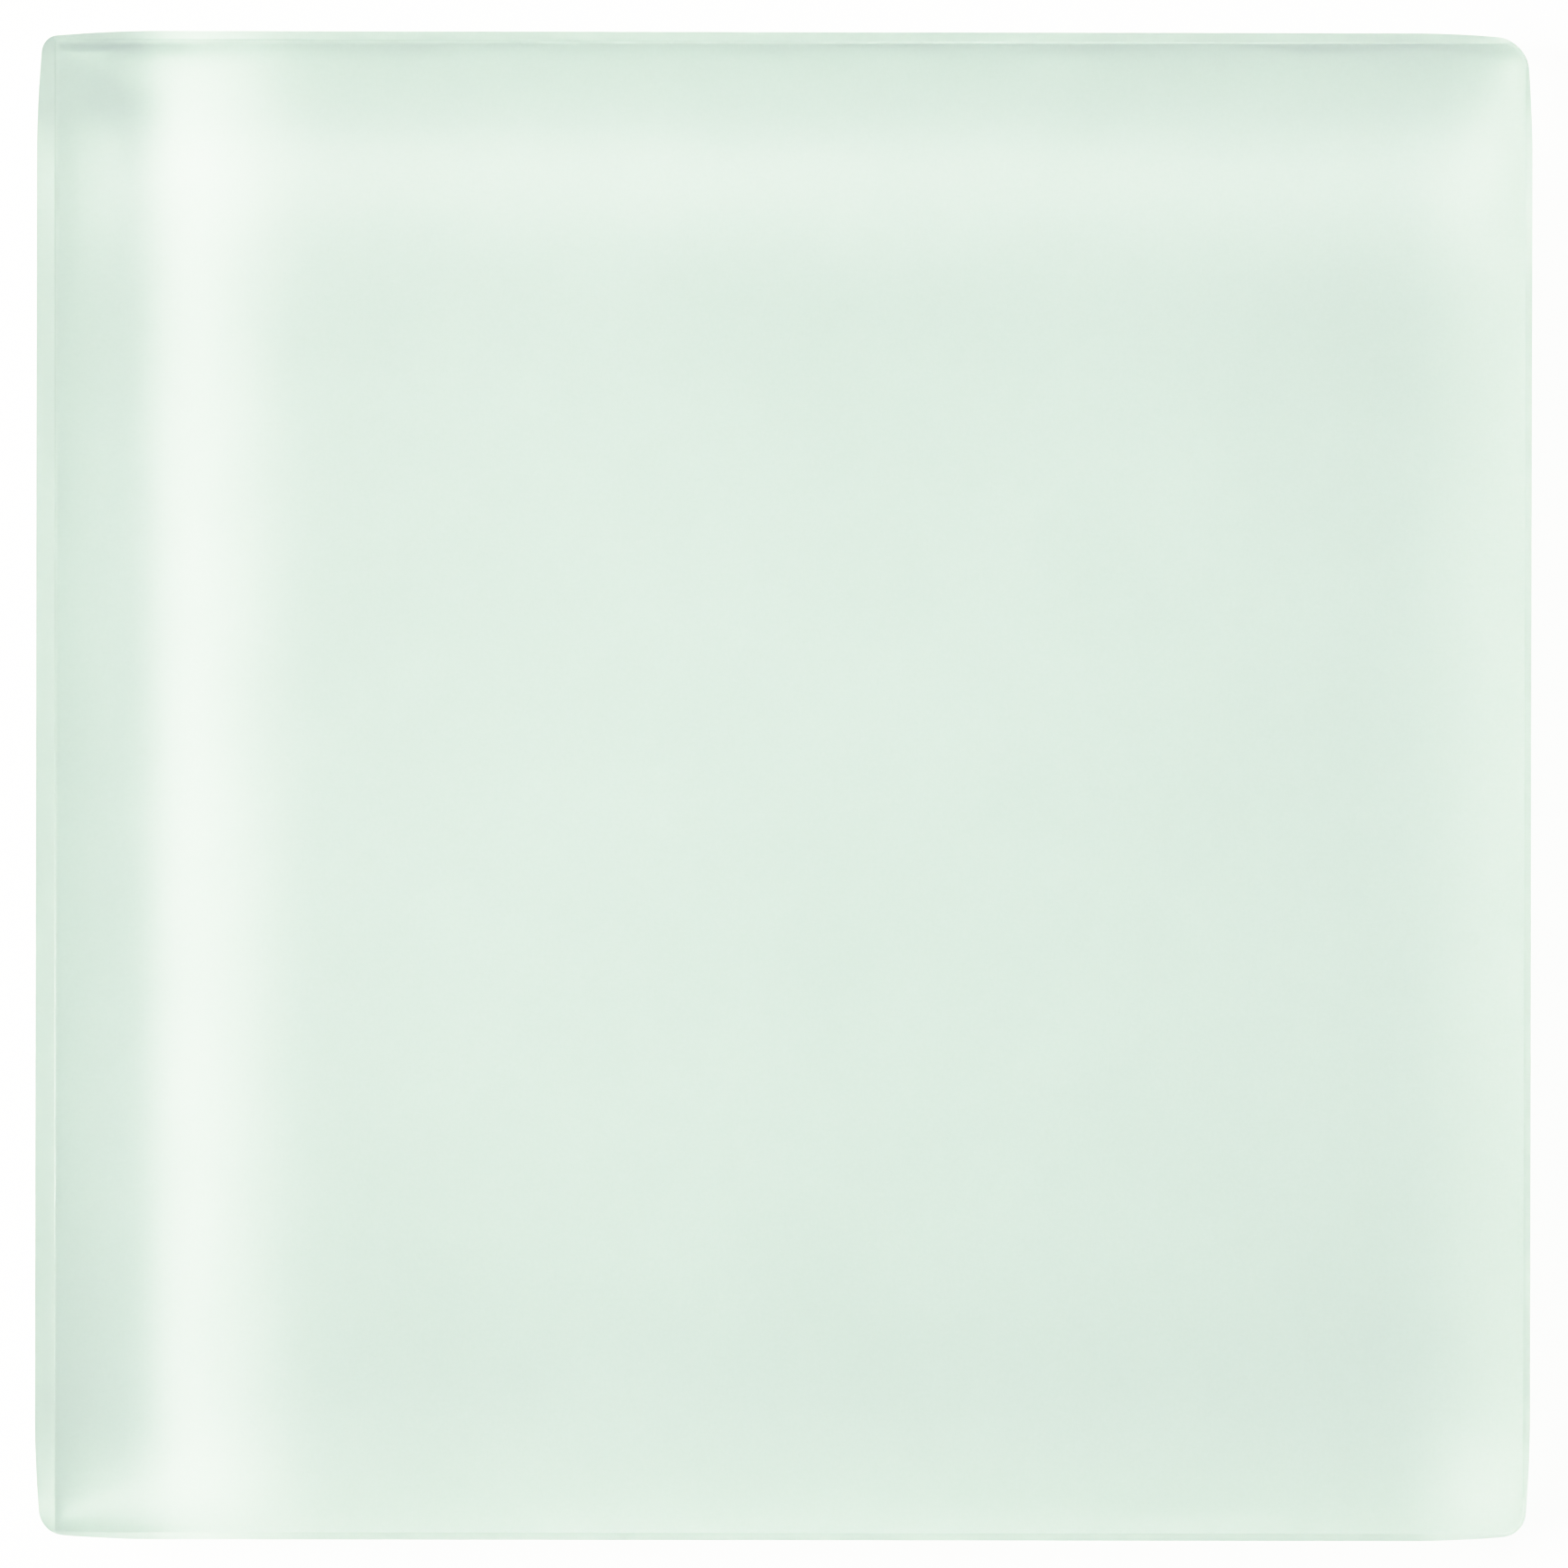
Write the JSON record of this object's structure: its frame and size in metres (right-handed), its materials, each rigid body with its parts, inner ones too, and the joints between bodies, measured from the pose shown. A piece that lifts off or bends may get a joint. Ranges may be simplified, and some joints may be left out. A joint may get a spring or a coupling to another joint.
{
  "type": "glass wall tile",
  "caption": "Small square wall tile of thick satin-etched glass with ground arrises, eased corners and a pale mint colour fired on its flat back.",
  "frame": {"origin": "middle of the flat back face", "axes": "+X to the tile's right as seen from its face, +Y up the wall that the tile is set on, +Z straight out of the face"},
  "size_m": [0.0478, 0.0482, 0.005],
  "materials": {
    "satin_glass": "satin"
  },
  "bodies": {
    "root": {"glass_tile": "satin_glass"}
  },
  "joints": []
}
